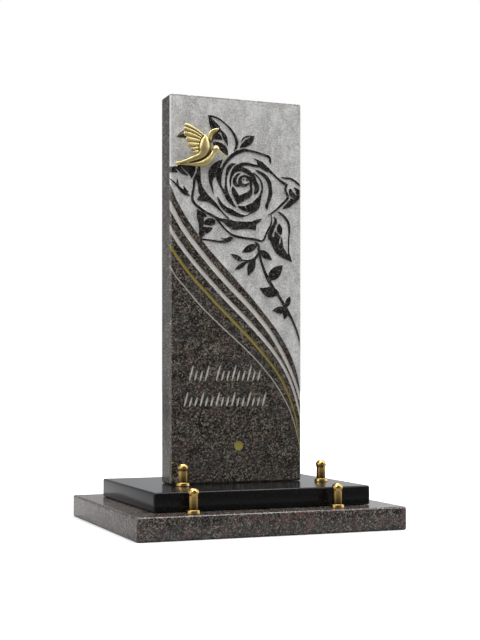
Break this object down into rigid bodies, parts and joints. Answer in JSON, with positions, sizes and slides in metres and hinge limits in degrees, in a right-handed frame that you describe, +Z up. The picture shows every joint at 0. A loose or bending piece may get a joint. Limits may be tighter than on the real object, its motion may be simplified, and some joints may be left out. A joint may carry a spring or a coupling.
{
  "type": "granite grave plaque",
  "caption": "Upright granite plaque with a carved rose, curved bands and a gilded hummingbird, on two stacked polished plates with brass posts.",
  "frame": {"origin": "middle of the base plate's underside", "axes": "+Z up along the upright stele, -Y out of the carved face, +X to the right as seen from the front"},
  "size_m": [0.35, 0.306, 0.5506],
  "materials": {
    "base_granite": "polished brown-grey granite",
    "black_granite": "polished black granite",
    "stele_granite": "polished dark brown-grey granite, partly sandblasted light grey",
    "gilded_bronze": "cast bronze, gilded and satin",
    "turned_brass": "turned brass, lacquered"
  },
  "bodies": {
    "root": {"base_plate": "base_granite", "plinth_plate": "black_granite", "stele": "stele_granite", "bird": "gilded_bronze", "base_post_left": "turned_brass", "base_post_right": "turned_brass", "plinth_post_left": "turned_brass", "plinth_post_right": "turned_brass"}
  },
  "joints": []
}
